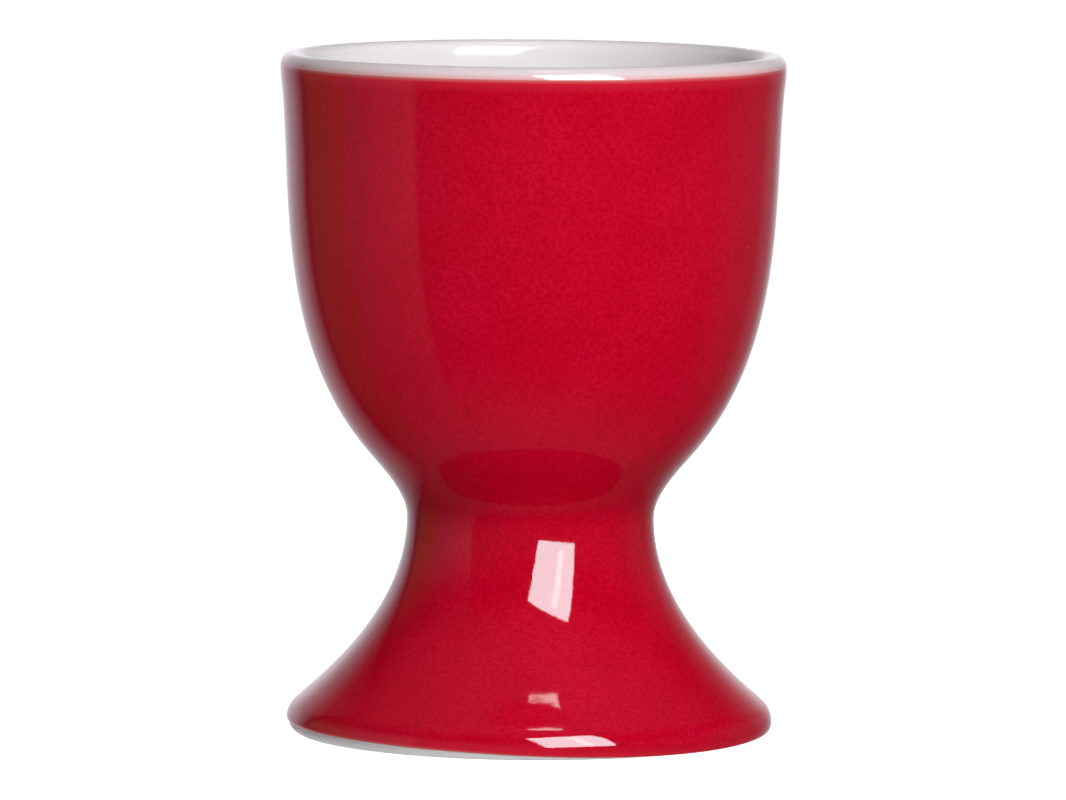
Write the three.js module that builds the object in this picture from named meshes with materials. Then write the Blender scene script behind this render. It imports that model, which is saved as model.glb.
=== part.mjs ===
// A footed egg cup in white ceramic, glazed red outside and white inside.
//
// Every piece is turned about the Z axis, in millimetres, and the cup stands on Z = 0. The ceramic is two
// formed parts, a bowl and a hollow foot, which meet at the waist. Three coats of glaze cover them: red on
// the outside, white over the lip and down the well, and clear in the hollow of the foot. The ring that
// the cup stands on is bare. The glazed surface is drawn first, and the ceramic lies one coat inside it.

import * as THREE from "three";

// Driving dimensions of the glazed surface, in mm. Leans are degrees from vertical.
const HEIGHT = 67.4;
const RIM_RADIUS = 25;
const LIP_RADIUS = 1.2; // the lip is a full round, so the wall there is twice this thick
const BAND = { r: 24.91, z: 64.65, lean: 7 }; // where the bowl's outside begins to turn upright to the lip
const BREAK = { r: 16.25, z: 28.05, lean: 40.5 }; // where the bowl's swell gives way to the waist's curve
const WAIST = { r: 12.25, z: 21.4 };
const FLARE_LEAN = 47; // the foot's outside, where its edge begins to round over
const FOOT_RADIUS = 24.1;
const FOOT_EDGE_RADIUS = 2.6; // the upper half of the foot's edge
const WELL_LEAN = 2.5; // the well's side, just below the lip
const WELL_FLOOR_Z = 26.8;
const HOLLOW_CEILING_Z = 19.2;
const HOLLOW_LEAN = 46; // the hollow's side, just above the ring

// The bare ring, in mm.
const RING_WIDTH = 1.6; // the flat that the cup stands on
const RING_OUTER_ROUND = 1.2;
const RING_INNER_ROUND = 1;

// The glaze: its thickness in mm, and where the red stops on the lower half of the foot's edge, in degrees
// above horizontal. At the top the red stops where the lip's round begins.
const GLAZE = 0.3;
const RED_END_ANGLE = -25;

// How far each curve keeps to the direction that it leaves or arrives in, in mm.
const REACH = {
  belowLip: 0.6,
  aboveBand: 0.6,
  belowBand: 9.6,
  aboveBreak: 14.6,
  belowBreak: 2.7,
  aboveWaist: 2.3,
  belowWaist: 9.6,
  aboveEdge: 2.8,
  wellSide: 26,
  wellFloor: 17,
  hollowCeiling: 7,
  hollowSide: 9,
};

// Facets round the axis, and along each stretch of the outline.
const SEGMENTS = 32;
const STEPS = { hollow: 7, ring: 2, edge: 3, flare: 6, neck: 4, bowl: 8, band: 2, lip: 3, well: 9 };

const radians = THREE.MathUtils.degToRad;
const at = (r, z) => new THREE.Vector2(r, z);
const beyond = (point, direction, distance) => point.clone().addScaledVector(direction, distance);

// The direction that leans away from the axis by an angle from straight up, and the same one downwards.
const up = (lean) => at(Math.sin(radians(lean)), Math.cos(radians(lean)));
const down = (lean) => up(lean).negate();
const outwards = at(1, 0);
const inwards = at(-1, 0);

// A stretch of outline is a list of { p, n }, the surface's points and its unit normals there. Outlines run
// from the hollow's ceiling down to the ring, up the outside, over the lip and down into the well, so a
// normal is always the direction of travel turned a quarter to the right.
function sweep(start, end, steps) {
  const curve = new THREE.CubicBezierCurve(
    start.p,
    beyond(start.p, start.direction, start.reach),
    beyond(end.p, end.direction, -end.reach),
    end.p,
  );
  const outline = [];
  for (let i = 0; i <= steps; i += 1) {
    const travel = curve.getTangent(i / steps);
    outline.push({ p: curve.getPoint(i / steps), n: at(travel.y, -travel.x) });
  }
  return outline;
}

// An arc between two angles of its normal above horizontal, in degrees.
function arc(centre, radius, from, to, steps) {
  const outline = [];
  for (let i = 0; i <= steps; i += 1) {
    const n = up(90 - THREE.MathUtils.lerp(from, to, i / steps));
    outline.push({ p: beyond(centre, n, radius), n });
  }
  return outline;
}

// Stretches end to end, with each shared point kept once.
const join = (...stretches) => stretches.flatMap((stretch, i) => (i === 0 ? stretch : stretch.slice(1)));

const surface = (outline) => outline.map(({ p }) => p);
const ceramicUnder = (outline) => outline.map(({ p, n }) => beyond(p, n, -GLAZE));

// --- The glazed surface and the bare ring, stretch by stretch ---

const outerRoundCentre = at(FOOT_RADIUS - GLAZE - RING_OUTER_ROUND, RING_OUTER_ROUND);
const innerRoundCentre = at(outerRoundCentre.x - RING_WIDTH, RING_INNER_ROUND);
const innerRoundAngle = HOLLOW_LEAN - 180;

function hollowOutline() {
  const ceiling = { p: at(0, HOLLOW_CEILING_Z), direction: outwards, reach: REACH.hollowCeiling };
  const [last] = arc(innerRoundCentre, RING_INNER_ROUND + GLAZE, innerRoundAngle, -90, 1);
  const side = { p: last.p, direction: down(-HOLLOW_LEAN), reach: REACH.hollowSide };
  return sweep(ceiling, side, STEPS.hollow);
}

function ringProfile() {
  const inner = arc(innerRoundCentre, RING_INNER_ROUND, innerRoundAngle, -90, STEPS.ring);
  const outer = arc(outerRoundCentre, RING_OUTER_ROUND, -90, RED_END_ANGLE, STEPS.ring);
  return surface([...inner, ...outer]);
}

function footOutline() {
  const lowerEdge = arc(outerRoundCentre, RING_OUTER_ROUND + GLAZE, RED_END_ANGLE, 0, STEPS.ring);
  const upperCentre = at(FOOT_RADIUS - FOOT_EDGE_RADIUS, RING_OUTER_ROUND);
  const upperEdge = arc(upperCentre, FOOT_EDGE_RADIUS, 0, 90 - FLARE_LEAN, STEPS.edge);
  const edge = { p: upperEdge.at(-1).p, direction: up(-FLARE_LEAN), reach: REACH.aboveEdge };
  const waist = { p: at(WAIST.r, WAIST.z), direction: up(0), reach: REACH.belowWaist };
  return join(lowerEdge, upperEdge, sweep(edge, waist, STEPS.flare));
}

function bowlOutline() {
  const waist = { p: at(WAIST.r, WAIST.z), direction: up(0), reach: REACH.aboveWaist };
  const breakPoint = { p: at(BREAK.r, BREAK.z), direction: up(BREAK.lean) };
  const band = { p: at(BAND.r, BAND.z), direction: up(BAND.lean) };
  const lip = { p: at(RIM_RADIUS, HEIGHT - LIP_RADIUS), direction: up(0), reach: REACH.belowLip };
  return join(
    sweep(waist, { ...breakPoint, reach: REACH.belowBreak }, STEPS.neck),
    sweep({ ...breakPoint, reach: REACH.aboveBreak }, { ...band, reach: REACH.belowBand }, STEPS.bowl),
    sweep({ ...band, reach: REACH.aboveBand }, lip, STEPS.band),
  );
}

function lipArc(from, to) {
  return arc(at(RIM_RADIUS - LIP_RADIUS, HEIGHT - LIP_RADIUS), LIP_RADIUS, from, to, STEPS.lip);
}

function wellOutline() {
  const lip = join(lipArc(0, 90), lipArc(90, 180 - WELL_LEAN));
  const side = { p: lip.at(-1).p, direction: down(WELL_LEAN), reach: REACH.wellSide };
  const floor = { p: at(0, WELL_FLOOR_Z), direction: inwards, reach: REACH.wellFloor };
  return join(lip, sweep(side, floor, STEPS.well));
}

// --- Materials ---

const GLAZE_ROUGHNESS = 0.12;
const CERAMIC_ROUGHNESS = 0.6;

function ceramic() {
  return new THREE.MeshStandardMaterial({ color: 0xe9e2d8, roughness: CERAMIC_ROUGHNESS, metalness: 0 });
}

function redGlaze() {
  return new THREE.MeshStandardMaterial({ color: 0xbe0a24, roughness: GLAZE_ROUGHNESS, metalness: 0 });
}

function whiteGlaze() {
  return new THREE.MeshStandardMaterial({ color: 0xefeae6, roughness: GLAZE_ROUGHNESS, metalness: 0 });
}

function clearGlaze() {
  return new THREE.MeshStandardMaterial({ color: 0xe6e0d6, roughness: GLAZE_ROUGHNESS, metalness: 0 });
}

// --- The pieces ---

function turned(name, profile, material) {
  const geometry = new THREE.LatheGeometry(profile, SEGMENTS).rotateX(Math.PI / 2);
  const mesh = new THREE.Mesh(geometry, material);
  mesh.name = name;
  return mesh;
}

function bowlBody() {
  const undersideCentre = at(0, WAIST.z);
  const shell = ceramicUnder(join(bowlOutline(), wellOutline()));
  return turned("bowl_body", [undersideCentre, ...shell], ceramic());
}

function footBody() {
  const hollow = ceramicUnder(hollowOutline());
  const outside = ceramicUnder(footOutline());
  const topCentre = at(0, WAIST.z);
  return turned("foot_body", [...hollow, ...ringProfile().slice(1, -1), ...outside, topCentre], ceramic());
}

// The section of a coat, from the glazed surface in to the ceramic and closed on itself or on the axis.
function coatProfile(outline) {
  const section = [...surface(outline), ...ceramicUnder(outline).reverse()];
  return section[0].x > 0 ? [...section, section[0]] : section;
}

function outerGlaze() {
  return turned("outer_glaze", coatProfile(join(footOutline(), bowlOutline())), redGlaze());
}

function wellGlaze() {
  return turned("well_glaze", coatProfile(wellOutline()), whiteGlaze());
}

function footHollowGlaze() {
  return turned("foot_hollow_glaze", coatProfile(hollowOutline()), clearGlaze());
}

const eggCup = new THREE.Group();
eggCup.add(bowlBody(), footBody(), outerGlaze(), wellGlaze(), footHollowGlaze());

export default eggCup;
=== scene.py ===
# The looks of a glazed ceramic egg cup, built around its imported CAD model.
#
# Every visible piece is turned about the Z axis from one smooth outline. The outline's main sizes are read
# from the CAD nodes, and its curves repeat the CAD's, apart from the well's lean. Lengths are in metres,
# and MM makes them from mm.

import math

import bmesh
import bpy
from mathutils import Matrix, Vector, noise


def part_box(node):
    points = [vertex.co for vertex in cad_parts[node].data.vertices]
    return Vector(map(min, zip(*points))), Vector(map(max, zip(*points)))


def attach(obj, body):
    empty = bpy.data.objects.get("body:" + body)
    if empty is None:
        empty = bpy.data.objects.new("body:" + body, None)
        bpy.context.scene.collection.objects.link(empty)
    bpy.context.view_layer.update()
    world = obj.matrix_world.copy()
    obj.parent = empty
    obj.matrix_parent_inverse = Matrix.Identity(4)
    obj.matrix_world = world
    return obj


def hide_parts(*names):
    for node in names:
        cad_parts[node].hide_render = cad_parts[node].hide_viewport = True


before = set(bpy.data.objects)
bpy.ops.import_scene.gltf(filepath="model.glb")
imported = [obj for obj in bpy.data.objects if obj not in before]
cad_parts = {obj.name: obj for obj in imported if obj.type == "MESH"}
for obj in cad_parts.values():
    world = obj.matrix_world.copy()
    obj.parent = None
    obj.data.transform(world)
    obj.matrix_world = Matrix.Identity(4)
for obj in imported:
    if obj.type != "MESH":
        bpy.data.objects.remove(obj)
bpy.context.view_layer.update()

MM = 0.001

# --- Sizes read from the CAD ---

rim_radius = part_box("outer_glaze")[1].x
coat = rim_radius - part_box("bowl_body")[1].x
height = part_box("well_glaze")[1].z
foot_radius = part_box("foot_body")[1].x + coat
waist_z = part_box("foot_body")[1].z
well_floor_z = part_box("well_glaze")[0].z + coat
hollow_ceiling_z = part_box("foot_hollow_glaze")[1].z - coat

# --- The outline's curves, as in the CAD ---

LIP_RADIUS = 1.2 * MM
BAND = Vector((24.91, 64.65)) * MM
BAND_LEAN = 7
BREAK = Vector((16.25, 28.05)) * MM
BREAK_LEAN = 40.5
WAIST_RADIUS = 12.25 * MM
FLARE_LEAN = 47
FOOT_EDGE_RADIUS = 2.6 * MM
WELL_LEAN = 1.2  # steeper than the CAD's 2.5, so that the well mirrors less of the softbox under the lip
HOLLOW_LEAN = 46
RING_WIDTH = 1.6 * MM
RING_OUTER_ROUND = 1.2 * MM
RING_INNER_ROUND = 1.0 * MM

REACH = {
    "below_lip": 0.6 * MM,
    "above_band": 0.6 * MM,
    "below_band": 9.6 * MM,
    "above_break": 14.6 * MM,
    "below_break": 2.7 * MM,
    "above_waist": 2.3 * MM,
    "below_waist": 9.6 * MM,
    "above_edge": 2.8 * MM,
    "well_side": 26 * MM,
    "well_floor": 17 * MM,
    "hollow_ceiling": 7 * MM,
    "hollow_side": 9 * MM,
}

# --- How the hand-finished glaze departs from the plain outline ---

# Where the red ends, in degrees above horizontal on the rounds of the lip and the foot's edge.
RED_TOP = 3
RED_TOP_WANDER = 2.5
RED_END = -2
RED_END_WANDER = 1.5
RED_END_DROP = 55  # how much lower it runs on the side where the foot was wiped less
RED_END_DROP_SIDE = math.radians(-45)
RED_END_DROP_SHARPNESS = 3.5  # a higher one keeps the drop to a narrower part of the foot

BEAD = 0.5 * MM  # the length over which a coat rounds down to the bare ceramic
RIPPLE = 0.03 * MM  # how far the glaze's surface wanders in from its outline
RIPPLE_LENGTH = 9 * MM
WANDER_TURNS = 2.5  # roughly how many waves an edge makes round the cup
RED_TOP_SEED = 3.1
RED_END_SEED = 7.7

# --- How finely the meshes are made ---

SEGMENTS = 256
STEPS = {"arc": 14, "flare": 44, "neck": 20, "swell": 64, "band": 8, "well": 60, "hollow": 36}
MERGE_DISTANCE = 0.0005 * MM
SHARP_ANGLE = 40  # degrees between two faces, from which their shared edge is drawn sharp

outwards = Vector((1, 0))
inwards = Vector((-1, 0))


def up(lean):
    """The direction that leans out from straight up by an angle in degrees."""
    return Vector((math.sin(math.radians(lean)), math.cos(math.radians(lean))))


def down(lean):
    """The direction straight against up(lean)."""
    return -up(lean)


def sweep(start, end, steps):
    """A smooth run of (point, normal) between two (point, direction, reach) ends."""
    p0, direction0, reach0 = start
    p3, direction3, reach3 = end
    p1 = p0 + direction0 * reach0
    p2 = p3 - direction3 * reach3
    run = []
    for i in range(steps + 1):
        t = i / steps
        s = 1 - t
        point = s**3 * p0 + 3 * s * s * t * p1 + 3 * s * t * t * p2 + t**3 * p3
        travel = s * s * (p1 - p0) + 2 * s * t * (p2 - p1) + t * t * (p3 - p2)
        travel.normalize()
        run.append((point, Vector((travel.y, -travel.x))))
    return run


def arc(centre, radius, start, end, steps=STEPS["arc"]):
    """A run of (point, normal) between two angles of the normal above horizontal, in degrees."""
    run = []
    for i in range(steps + 1):
        normal = up(90 - start - (end - start) * i / steps)
        run.append((centre + normal * radius, normal))
    return run


def join(*runs):
    """Runs end to end, with each shared point kept once."""
    joined = list(runs[0])
    for run in runs[1:]:
        joined += run[1:]
    return joined


# --- The glazed surface, stretch by stretch, from the hollow's ceiling round to the well's floor ---

outer_round_centre = Vector((foot_radius - coat - RING_OUTER_ROUND, RING_OUTER_ROUND))
inner_round_centre = Vector((outer_round_centre.x - RING_WIDTH, RING_INNER_ROUND))
inner_round_start = HOLLOW_LEAN - 180
lip_centre = Vector((rim_radius - LIP_RADIUS, height - LIP_RADIUS))
waist = Vector((WAIST_RADIUS, waist_z))


def hollow_run():
    round_top = inner_round_centre + up(90 - inner_round_start) * (RING_INNER_ROUND + coat)
    ceiling = (Vector((0, hollow_ceiling_z)), outwards, REACH["hollow_ceiling"])
    side = (round_top, down(-HOLLOW_LEAN), REACH["hollow_side"])
    return sweep(ceiling, side, STEPS["hollow"])


def ring_run(end):
    """The bare ring, from the hollow's side round to where the red ends."""
    inner = arc(inner_round_centre, RING_INNER_ROUND, inner_round_start, -90)
    return inner + arc(outer_round_centre, RING_OUTER_ROUND, -90, end)


def foot_run(red_end):
    lower = arc(outer_round_centre, RING_OUTER_ROUND + coat, red_end, 0)
    upper_centre = Vector((foot_radius - FOOT_EDGE_RADIUS, RING_OUTER_ROUND))
    upper = arc(upper_centre, FOOT_EDGE_RADIUS, 0, 90 - FLARE_LEAN)
    edge = (upper[-1][0], up(-FLARE_LEAN), REACH["above_edge"])
    flare = sweep(edge, (waist, up(0), REACH["below_waist"]), STEPS["flare"])
    return join(lower, upper, flare)


def bowl_run(red_top):
    neck_end = (BREAK, up(BREAK_LEAN), REACH["below_break"])
    neck = sweep((waist, up(0), REACH["above_waist"]), neck_end, STEPS["neck"])
    swell_start = (BREAK, up(BREAK_LEAN), REACH["above_break"])
    swell = sweep(swell_start, (BAND, up(BAND_LEAN), REACH["below_band"]), STEPS["swell"])
    lip = arc(lip_centre, LIP_RADIUS, 0, red_top)
    band_end = (lip[0][0], up(0), REACH["below_lip"])
    band = sweep((BAND, up(BAND_LEAN), REACH["above_band"]), band_end, STEPS["band"])
    return join(neck, swell, band, lip)


def well_run(red_top):
    lip = arc(lip_centre, LIP_RADIUS, red_top, 180 - WELL_LEAN, 2 * STEPS["arc"])
    side = (lip[-1][0], down(WELL_LEAN), REACH["well_side"])
    floor_centre = (Vector((0, well_floor_z)), inwards, REACH["well_floor"])
    return join(lip, sweep(side, floor_centre, STEPS["well"]))


# --- Where the red's edges run, at each angle round the cup ---


def wander(theta, seed):
    """A smooth wave round the cup, between about -1 and 1."""
    return noise.noise(Vector((WANDER_TURNS * math.cos(theta), WANDER_TURNS * math.sin(theta), seed)))


def red_top(theta):
    """Where the red ends on the lip's round, in degrees above horizontal."""
    return RED_TOP + RED_TOP_WANDER * wander(theta, RED_TOP_SEED)


def red_end(theta):
    """Where the red ends on the lower round of the foot's edge, in degrees above horizontal."""
    towards_drop = 0.5 + 0.5 * math.cos(theta - RED_END_DROP_SIDE)
    drop = RED_END_DROP * towards_drop**RED_END_DROP_SHARPNESS
    return RED_END - drop + RED_END_WANDER * wander(theta, RED_END_SEED)


# --- Sections: the profile that a piece has at one angle round the cup ---


def inset(run):
    """The ceramic's surface under a run of glaze."""
    return [point - normal * coat for point, normal in run]


def lengths_from_start(run):
    """How far along the run each of its points is."""
    lengths = [0]
    for (last, _), (point, _) in zip(run, run[1:]):
        lengths.append(lengths[-1] + (point - last).length)
    return lengths


def glazed(run, theta, beaded_start=False, beaded_end=False):
    """The run's points, let in by the glaze's ripple, and rounded down to the ceramic at beaded ends."""
    lengths = lengths_from_start(run)
    points = []
    for (point, normal), length in zip(run, lengths):
        place = Vector((point.x * math.cos(theta), point.x * math.sin(theta), point.y))
        ripple = RIPPLE * (0.5 + 0.5 * noise.noise(place / RIPPLE_LENGTH))
        to_edge = min(
            length if beaded_start else BEAD,
            lengths[-1] - length if beaded_end else BEAD,
            BEAD,
        )
        thickness = (coat - ripple) * math.sqrt(1 - (1 - to_edge / BEAD) ** 2)
        points.append(point - normal * (coat - thickness))
    return points


def edge_distances(run, open_start, open_end):
    """How far each point of a run is from its open ends, along the surface, in mm."""
    lengths = lengths_from_start(run)
    far = lengths[-1]
    return [min(d if open_start else far, far - d if open_end else far) / MM for d in lengths]


def coat_section(run, theta, open_start, open_end, **beads):
    """Points and edge distances round a coat: along its surface, and back along the ceramic."""
    distances = edge_distances(run, open_start, open_end)
    return glazed(run, theta, **beads) + inset(run)[::-1], distances + distances[::-1]


def red_section(theta):
    run = join(foot_run(red_end(theta)), bowl_run(red_top(theta)))
    return coat_section(run, theta, True, True, beaded_start=True)


def white_section(theta):
    return coat_section(well_run(red_top(theta)), theta, True, False)


def hollow_section(theta):
    return coat_section(hollow_run(), theta, False, True, beaded_end=True)


def bowl_section(theta):
    top = red_top(theta)
    points = [Vector((0, waist_z))] + inset(join(bowl_run(top), well_run(top)))
    return points, [0] * len(points)


def foot_section(theta):
    end = red_end(theta)
    ring = [point for point, _ in ring_run(end)]
    points = inset(hollow_run()) + ring[1:-1] + inset(foot_run(end)) + [Vector((0, waist_z))]
    return points, [0] * len(points)


def turned(name, section, material, closed):
    """A mesh turned from its section at each angle. A section that isn't closed on itself starts and ends
    on the axis. The mesh carries how far each point is from the coat's edge."""
    maker = bmesh.new()
    edge_layer = maker.verts.layers.float.new("edge_mm")
    rings = []
    for i in range(SEGMENTS):
        theta = math.tau * i / SEGMENTS
        points, distances = section(theta)
        ring = []
        for point, distance in zip(points, distances):
            vertex = maker.verts.new((point.x * math.cos(theta), point.x * math.sin(theta), point.y))
            vertex[edge_layer] = distance
            ring.append(vertex)
        rings.append(ring)
    count = len(rings[0])
    for i, ring in enumerate(rings):
        following = rings[(i + 1) % SEGMENTS]
        for j in range(count if closed else count - 1):
            k = (j + 1) % count
            maker.faces.new((ring[j], following[j], following[k], ring[k]))
    bmesh.ops.remove_doubles(maker, verts=maker.verts, dist=MERGE_DISTANCE)
    bmesh.ops.recalc_face_normals(maker, faces=maker.faces)
    mesh = bpy.data.meshes.new(name)
    maker.to_mesh(mesh)
    maker.free()
    mesh.shade_smooth()
    mesh.set_sharp_from_angle(angle=math.radians(SHARP_ANGLE))
    mesh.materials.append(material)
    return bpy.data.objects.new(name, mesh)


# --- Materials ---


class Nodes:
    """A short way to add linked nodes to a node tree."""

    def __init__(self, tree):
        self.tree = tree
        self.coords = tree.nodes.new("ShaderNodeTexCoord").outputs["Object"]

    def node(self, kind, settings=None, **inputs):
        """A new node. Its inputs are named with _ for a space, and each is a value or a socket to link."""
        made = self.tree.nodes.new("ShaderNode" + kind)
        for key, value in (settings or {}).items():
            setattr(made, key, value)
        for key, value in inputs.items():
            self.feed(made.inputs[key.replace("_", " ")], value)
        return made

    def feed(self, socket, value):
        if isinstance(value, bpy.types.NodeSocket):
            self.tree.links.new(value, socket)
        else:
            socket.default_value = value

    def noise(self, size, detail=2.0):
        """Noise between 0 and 1, with patches of about the given size in metres."""
        return self.node("TexNoise", Vector=self.coords, Scale=1 / size, Detail=detail).outputs["Fac"]

    def patches(self, size, contrast, ends=(0.0, 1.0), detail=2.0):
        """Noise whose two values of contrast, and all beyond them, are brought to the two ends."""
        return self.remap(self.noise(size, detail), *contrast, *ends)

    def spots(self, spacing, radius, share):
        """1 in small round spots, one to some of the cells of the given spacing, and 0 elsewhere."""
        cells = self.node("TexVoronoi", Vector=self.coords, Scale=1 / spacing)
        near = self.remap(cells.outputs["Distance"], radius / spacing, 0.5 * radius / spacing)
        pick = self.node("SeparateColor", Color=cells.outputs["Color"]).outputs["Red"]
        return self.math("MULTIPLY", near, self.math("LESS_THAN", pick, share))

    def remap(self, value, low, high, to_low=0.0, to_high=1.0):
        """The value, brought from its range of low to high into the new one, and kept within that."""
        ranges = {"From_Min": low, "From_Max": high, "To_Min": to_low, "To_Max": to_high}
        return self.node("MapRange", Value=value, **ranges).outputs["Result"]

    def math(self, operation, a, b):
        made = self.node("Math", {"operation": operation})
        self.feed(made.inputs[0], a)
        self.feed(made.inputs[1], b)
        return made.outputs["Value"]

    def mix(self, factor, a, b):
        """Colour a where the factor is 0, and b where it is 1."""
        made = self.node("Mix", {"data_type": "RGBA"})
        self.feed(made.inputs["Factor"], factor)
        self.feed(made.inputs["A"], a if isinstance(a, bpy.types.NodeSocket) else (*a, 1))
        self.feed(made.inputs["B"], b if isinstance(b, bpy.types.NodeSocket) else (*b, 1))
        return made.outputs["Result"]

    def bump(self, height_socket, depth):
        return self.node("Bump", Height=height_socket, Distance=depth, Strength=1.0).outputs["Normal"]

    def edge(self):
        """How far the surface is from its coat's edge, in mm."""
        return self.node("Attribute", {"attribute_name": "edge_mm"}).outputs["Fac"]


def new_material(name):
    """A new material, with its nodes and its shader."""
    material = bpy.data.materials.new(name)
    material.use_nodes = True
    return material, Nodes(material.node_tree), material.node_tree.nodes["Principled BSDF"]


GLAZE_IOR = 1.45

# The two values that a noise's patches run between: further apart for softer edges.
SOFT = (0.3, 0.7)
CRISP = (0.35, 0.65)

# What each material looks like. Sizes and depths are in metres, and distances from a coat's edge in mm, with
# the further one first. Colours in pairs are the two that a pattern mixes.
RED_GLAZE = {
    "deep": ((0.52, 0.0, 0.014), (0.63, 0.0012, 0.024)),
    "bright": ((0.55, 0.0, 0.018), (0.66, 0.003, 0.03)),
    "patch_size": 7 * MM,
    "grain_size": 0.35 * MM,
    "grain_detail": 3,
    "thin": ((1.4, 0.4), (0.67, 0.014, 0.038)),
    "thinner": ((0.4, 0.15), (0.72, 0.12, 0.12)),
    "edge": ((0.15, 0.0), (0.78, 0.33, 0.31)),
    "pinholes": {"spacing": 3.5 * MM, "radius": 0.1 * MM, "share": 0.35},
    "pinhole_color": (0.72, 0.12, 0.12),
    "gloss_size": 2 * MM,
    "roughness": (0.03, 0.06),
    "wave_size": 2.5 * MM,
    "wave_detail": 1,
    "wave_depth": 0.012 * MM,
    "grain_in_waves": 0.04,
}
WHITE_GLAZE = {
    "body": ((0.9, 0.85, 0.87), (0.92, 0.885, 0.9)),
    "patch_size": 6 * MM,
    "flush": ((2.4, 0.3), (0.86, 0.7, 0.72)),
    "flush_strength": 0.8,
    "flush_wander_size": 1.5 * MM,
    "flush_wander": 0.2,
    "edge": ((0.5, 0.05), (0.93, 0.52, 0.52)),
    "specks": {"spacing": 5 * MM, "radius": 0.07 * MM, "share": 0.25},
    "speck_color": (0.5, 0.42, 0.38),
    "gloss_size": 2 * MM,
    "roughness": (0.04, 0.08),
    "wave_size": 3 * MM,
    "wave_detail": 1,
    "wave_depth": 0.012 * MM,
}
CLEAR_GLAZE = {
    "body": ((0.78, 0.77, 0.74), (0.84, 0.83, 0.8)),
    "patch_size": 5 * MM,
    "edge": ((1.2, 0.0), (0.74, 0.7, 0.64)),
    "edge_strength": 0.7,
    "specks": {"spacing": 4 * MM, "radius": 0.09 * MM, "share": 0.3},
    "speck_color": (0.4, 0.33, 0.27),
    "gloss_size": 2 * MM,
    "roughness": (0.06, 0.14),
    "wave_size": 2.5 * MM,
    "wave_detail": 2,
    "wave_depth": 0.02 * MM,
}
BARE_CERAMIC = {
    "body": ((0.76, 0.75, 0.745), (0.86, 0.85, 0.845)),
    "sand_size": 0.12 * MM,
    "sand_detail": 4,
    "sand_depth": 0.02 * MM,
    "scuff_size": 1.5 * MM,
    "scuff_detail": 4,
    "scuff_edges": (0.45, 0.6),
    "scuff_height": 0.25 * MM,  # above the table
    "scuff_strength": 0.6,
    "scuff_color": (0.42, 0.4, 0.38),
    "roughness": (0.45, 0.65),
}


def finish_glaze(nodes, shader, look, color, waves):
    """What every glaze has: its colour, an uneven gloss and a slightly wavy surface."""
    nodes.feed(shader.inputs["Base Color"], color)
    nodes.feed(shader.inputs["Roughness"], nodes.patches(look["gloss_size"], SOFT, look["roughness"]))
    nodes.feed(shader.inputs["Normal"], nodes.bump(waves, look["wave_depth"]))
    shader.inputs["IOR"].default_value = GLAZE_IOR


def red_glaze():
    """Crimson glaze: grainy with pigment, paler where it thins at its edges, and a few pinholes."""
    material, nodes, shader = new_material("red_glaze")
    look = RED_GLAZE
    grain = nodes.patches(look["grain_size"], CRISP, detail=look["grain_detail"])
    deep = nodes.mix(grain, *look["deep"])
    bright = nodes.mix(grain, *look["bright"])
    color = nodes.mix(nodes.patches(look["patch_size"], CRISP), deep, bright)
    for zone in ("thin", "thinner", "edge"):
        distances, zone_color = look[zone]
        color = nodes.mix(nodes.remap(nodes.edge(), *distances), color, zone_color)
    color = nodes.mix(nodes.spots(**look["pinholes"]), color, look["pinhole_color"])
    roughened = nodes.math("MULTIPLY", grain, look["grain_in_waves"])
    waves = nodes.math("ADD", nodes.noise(look["wave_size"], look["wave_detail"]), roughened)
    finish_glaze(nodes, shader, look, color, waves)
    return material


def white_glaze():
    """Warm white glaze, flushed pink beside the red, with a few iron specks."""
    material, nodes, shader = new_material("white_glaze")
    look = WHITE_GLAZE
    body = nodes.mix(nodes.patches(look["patch_size"], SOFT), *look["body"])
    wander_range = (-look["flush_wander"], look["flush_wander"])
    wandering = nodes.patches(look["flush_wander_size"], SOFT, wander_range)
    distances, flush_color = look["flush"]
    flush = nodes.remap(nodes.math("ADD", nodes.edge(), wandering), *distances, 0.0, look["flush_strength"])
    flushed = nodes.mix(flush, body, flush_color)
    edge_distances_mm, edge_color = look["edge"]
    edged = nodes.mix(nodes.remap(nodes.edge(), *edge_distances_mm), flushed, edge_color)
    color = nodes.mix(nodes.spots(**look["specks"]), edged, look["speck_color"])
    finish_glaze(nodes, shader, look, color, nodes.noise(look["wave_size"], look["wave_detail"]))
    return material


def clear_glaze():
    """Clear glaze over white ceramic, browner where it thins at its edge, with a few specks."""
    material, nodes, shader = new_material("clear_glaze")
    look = CLEAR_GLAZE
    body = nodes.mix(nodes.patches(look["patch_size"], SOFT), *look["body"])
    edge_distances_mm, edge_color = look["edge"]
    thinning = nodes.remap(nodes.edge(), *edge_distances_mm, 0.0, look["edge_strength"])
    edged = nodes.mix(thinning, body, edge_color)
    color = nodes.mix(nodes.spots(**look["specks"]), edged, look["speck_color"])
    finish_glaze(nodes, shader, look, color, nodes.noise(look["wave_size"], look["wave_detail"]))
    return material


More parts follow.
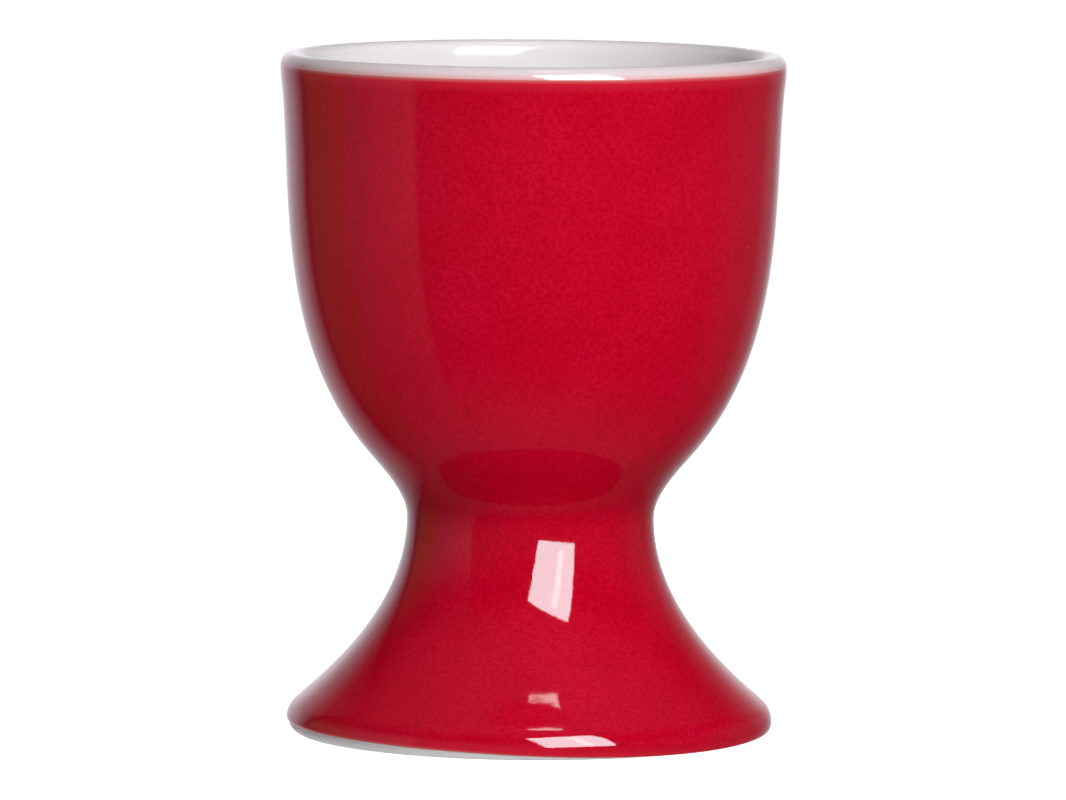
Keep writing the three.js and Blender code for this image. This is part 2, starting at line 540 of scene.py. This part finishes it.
def bare_ceramic():
    """Unglazed fired ceramic: matt, finely sandy, and a little grey where it rubs on the table."""
    material, nodes, shader = new_material("bare_ceramic")
    look = BARE_CERAMIC
    sand = nodes.noise(look["sand_size"], look["sand_detail"])
    body = nodes.mix(nodes.remap(sand, *CRISP), *look["body"])
    lift = nodes.node("SeparateXYZ", Vector=nodes.coords).outputs["Z"]
    touching = nodes.remap(lift, look["scuff_height"], 0.0)
    scuffs = nodes.patches(look["scuff_size"], look["scuff_edges"], detail=look["scuff_detail"])
    worn_share = nodes.math("MULTIPLY", nodes.math("MULTIPLY", touching, scuffs), look["scuff_strength"])
    nodes.feed(shader.inputs["Base Color"], nodes.mix(worn_share, body, look["scuff_color"]))
    nodes.feed(shader.inputs["Roughness"], nodes.remap(sand, *SOFT, *look["roughness"]))
    nodes.feed(shader.inputs["Normal"], nodes.bump(sand, look["sand_depth"]))
    return material


# --- The pieces: what each looks like, which CAD node it stands for, and its material slot ---


def add_piece(name, section, material, closed, node):
    """Turns a piece and puts it in the scene, in the place of a CAD node."""
    piece = turned(name, section, material, closed)
    bpy.context.scene.collection.objects.link(piece)
    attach(piece, "root")
    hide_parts(node)


ceramic = bare_ceramic()
add_piece("red_coat", red_section, red_glaze(), True, "outer_glaze")
add_piece("white_coat", white_section, white_glaze(), True, "well_glaze")
add_piece("hollow_coat", hollow_section, clear_glaze(), True, "foot_hollow_glaze")
add_piece("bowl_ceramic", bowl_section, ceramic, False, "bowl_body")
add_piece("foot_ceramic", foot_section, ceramic, False, "foot_body")

# --- Stage ---

FLOOR_SIZE = 6
FLOOR_COLOR = (0.8, 0.8, 0.8, 1)
FLOOR_ROUGHNESS = 0.9
FLOOR_GLOW = 0.85


def add_floor():
    """A plain pale floor. The cup doesn't mirror it and takes no light from it: the lamp below gives the
    light that it would bounce.
    """
    material, _, shader = new_material("floor")
    shader.inputs["Base Color"].default_value = FLOOR_COLOR
    shader.inputs["Roughness"].default_value = FLOOR_ROUGHNESS
    shader.inputs["Emission Color"].default_value = (1, 1, 1, 1)
    shader.inputs["Emission Strength"].default_value = FLOOR_GLOW
    half = FLOOR_SIZE / 2
    corners = [(-half, -half, 0), (half, -half, 0), (half, half, 0), (-half, half, 0)]
    mesh = bpy.data.meshes.new("floor")
    mesh.from_pydata(corners, [], [(0, 1, 2, 3)])
    mesh.materials.append(material)
    floor = bpy.data.objects.new("floor", mesh)
    bpy.context.scene.collection.objects.link(floor)
    floor.visible_glossy = False
    floor.visible_diffuse = False
    floor.visible_shadow = False


add_floor()

# --- Lights ---


WHITE_LIGHT = (1, 1, 1)
ENERGY_PER_RADIANCE = 4  # for each square metre of a lamp's face


def add_light(name, centre, axes, size, radiance, color=WHITE_LIGHT, glossy=True, diffuse=True):
    """A rectangular lamp of an even brightness. Axes are the directions of its width and height, and its
    light leaves the side that the first x the second points away from."""
    data = bpy.data.lights.new(name, "AREA")
    data.shape = "RECTANGLE"
    data.size, data.size_y = size
    data.energy = ENERGY_PER_RADIANCE * radiance * size[0] * size[1]
    data.color = color
    lamp = bpy.data.objects.new(name, data)
    bpy.context.scene.collection.objects.link(lamp)
    x = Vector(axes[0]).normalized()
    z = x.cross(Vector(axes[1])).normalized()
    lamp.matrix_world = Matrix.Translation(centre) @ Matrix((x, z.cross(x), z)).transposed().to_4x4()
    lamp.visible_camera = False
    lamp.visible_glossy = glossy
    lamp.visible_diffuse = diffuse


SOFTBOX_CENTRE = Vector((0.292, -0.8225, 0.452))
SOFTBOX_ACROSS = Vector((0.769, 0.637, 0.054))
SOFTBOX_UPRIGHT = Vector((-0.2477, 0.1747, 0.953))
SOFTBOX_AXES = (SOFTBOX_ACROSS, SOFTBOX_UPRIGHT)
SOFTBOX_SIZE = (0.6, 0.8)
SOFTBOX_RADIANCE = 5.0

# What the glaze mirrors of the softbox: its panel, and a brighter tube in it. Each is a little nearer the
# cup than the last, so that they don't hide each other.
GLARE_CENTRE = 0.99 * SOFTBOX_CENTRE
GLARE_RADIANCE = 14
GLARE_COLOR = (0.68, 1.0, 1.05)
TUBE_CENTRE = 0.98 * SOFTBOX_CENTRE + 0.1 * SOFTBOX_ACROSS
TUBE_SIZE = (0.08, 0.6)
TUBE_RADIANCE = 4

# Big weak lamps that light the cup from above and, as the floor's bounce, from below.
BROAD_SIZE = (1.6, 1.6)
FACING_DOWN = ((1, 0, 0), (0, 1, 0))
FACING_UP = ((-1, 0, 0), (0, 1, 0))
OVERHEAD_CENTRE = (0, 0, 1.2)
OVERHEAD_RADIANCE = 0.2
BOUNCE_CENTRE = (-0.1, 0, -1.2)
BOUNCE_RADIANCE = 1.3

# A small lamp on the ceiling, mirrored in the foot's flare.
CEILING_LAMP_CENTRE = (0.074, -0.08, 1.0)
CEILING_LAMP_AXES = ((0.998, 0.064, 0), (-0.064, 0.998, 0))
CEILING_LAMP_SIZE = (0.156, 0.08)
CEILING_LAMP_RADIANCE = 6.5

# The softbox lights the cup and shows in its glaze as separate lamps, so that each has its own brightness.
add_light("softbox", SOFTBOX_CENTRE, SOFTBOX_AXES, SOFTBOX_SIZE, SOFTBOX_RADIANCE, glossy=False)
add_light(
    "softbox_glare", GLARE_CENTRE, SOFTBOX_AXES, SOFTBOX_SIZE, GLARE_RADIANCE, GLARE_COLOR, diffuse=False
)
add_light("softbox_tube", TUBE_CENTRE, SOFTBOX_AXES, TUBE_SIZE, TUBE_RADIANCE, diffuse=False)
add_light("overhead", OVERHEAD_CENTRE, FACING_DOWN, BROAD_SIZE, OVERHEAD_RADIANCE, glossy=False)
add_light("floor_bounce", BOUNCE_CENTRE, FACING_UP, BROAD_SIZE, BOUNCE_RADIANCE, glossy=False)
add_light(
    "ceiling_lamp",
    CEILING_LAMP_CENTRE,
    CEILING_LAMP_AXES,
    CEILING_LAMP_SIZE,
    CEILING_LAMP_RADIANCE,
    diffuse=False,
)

# --- Surroundings: pale to the camera, and a dim studio in reflections ---

# Brightness round the cup, at degrees from the camera's side towards +X.
SURROUNDINGS = [
    (-180, (0.9, 0.88, 0.93)),
    (-160, (0.85, 0.82, 0.88)),
    (-146, (0.72, 0.66, 0.74)),
    (-136, (0.36, 0.28, 0.36)),
    (-133, (0.09, 0.08, 0.08)),
    (-129, (0.08, 0.08, 0.08)),
    (-127, (0.22, 0.15, 0.08)),
    (-100, (0.34, 0.22, 0.09)),
    (-97, (0.22, 0.21, 0.24)),
    (-56.5, (0.3, 0.3, 0.34)),
    (-55.5, (0.08, 0.07, 0.08)),
    (40, (0.05, 0.05, 0.06)),
    (95, (0.06, 0.06, 0.07)),
    (110, (0.11, 0.11, 0.12)),
    (134, (0.12, 0.11, 0.12)),
    (141, (0.22, 0.19, 0.22)),
    (152, (0.3, 0.28, 0.31)),
    (166, (0.65, 0.63, 0.67)),
    (180, (0.9, 0.88, 0.93)),
]

# How the brightness changes with the height of a direction, where straight up is 1: it grows from below up
# to the horizon, and fades above it. Each has the two heights, and then the levels there.
GROWING = (-0.6, 0.1, 0.4, 1.2)
FADING = (0.15, 0.5, 1.0, 0.12)

# Steeply up and down it gives way to one colour, between two heights.
STEEP_HEIGHTS = (0.6, 0.9)
STEEP_COLOR = (0.13, 0.12, 0.14)
SEEN_BY_CAMERA_COLOR = (1, 1, 1)


def add_world():
    """A ramp of colour round the horizon, shaded by height."""
    world = bpy.data.worlds.new("studio")
    bpy.context.scene.world = world
    world.use_nodes = True
    nodes = Nodes(world.node_tree)
    direction = nodes.node("TexCoord").outputs["Generated"]
    split = nodes.node("SeparateXYZ", Vector=direction).outputs
    azimuth = nodes.math("ARCTAN2", split["X"], nodes.math("MULTIPLY", split["Y"], -1.0))
    ramp = nodes.node("ValToRGB", Fac=nodes.remap(azimuth, -math.pi, math.pi))
    elements = ramp.color_ramp.elements
    elements.remove(elements[1])
    elements[0].color = (*SURROUNDINGS[0][1], 1)
    for degrees, color in SURROUNDINGS[1:]:
        elements.new(degrees / 360 + 0.5).color = (*color, 1)
    growing = nodes.remap(split["Z"], *GROWING)
    level = nodes.math("MULTIPLY", growing, nodes.remap(split["Z"], *FADING))
    shaded = nodes.node("VectorMath", {"operation": "SCALE"}, Vector=ramp.outputs["Color"], Scale=level)
    steepness = nodes.remap(nodes.math("ABSOLUTE", split["Z"], 0.0), *STEEP_HEIGHTS)
    seen_in_glaze = nodes.mix(steepness, shaded.outputs["Vector"], STEEP_COLOR)
    seen_by_camera = nodes.node("LightPath").outputs["Is Camera Ray"]
    color = nodes.mix(seen_by_camera, seen_in_glaze, SEEN_BY_CAMERA_COLOR)
    nodes.feed(world.node_tree.nodes["Background"].inputs["Color"], color)


add_world()

# --- Camera: a long lens, a little above the rim ---

CAMERA_ELEVATION = math.radians(5.31)
CAMERA_DISTANCE = 0.997
CAMERA_ROLL = math.radians(0.42)
CAMERA_LENS = 340.2
CAMERA_CLIP_END = 100
SENSOR_WIDTH = 36
TARGET_RIGHT_OF_AXIS = 0.18 * MM
TARGET_BELOW_MIDDLE = 0.69 * MM


def add_camera():
    target = Vector((TARGET_RIGHT_OF_AXIS, 0, height / 2 - TARGET_BELOW_MIDDLE))
    data = bpy.data.cameras.new("camera")
    data.sensor_width = SENSOR_WIDTH
    data.lens = CAMERA_LENS
    data.clip_end = CAMERA_CLIP_END
    camera = bpy.data.objects.new("camera", data)
    bpy.context.scene.collection.objects.link(camera)
    back = Vector((0, -math.cos(CAMERA_ELEVATION), math.sin(CAMERA_ELEVATION)))
    tilt = Matrix.Rotation(math.pi / 2 - CAMERA_ELEVATION, 4, "X")
    roll = Matrix.Rotation(CAMERA_ROLL, 4, "Z")
    camera.matrix_world = Matrix.Translation(target + CAMERA_DISTANCE * back) @ tilt @ roll
    bpy.context.scene.camera = camera


add_camera()
bpy.context.scene.view_settings.view_transform = "Standard"
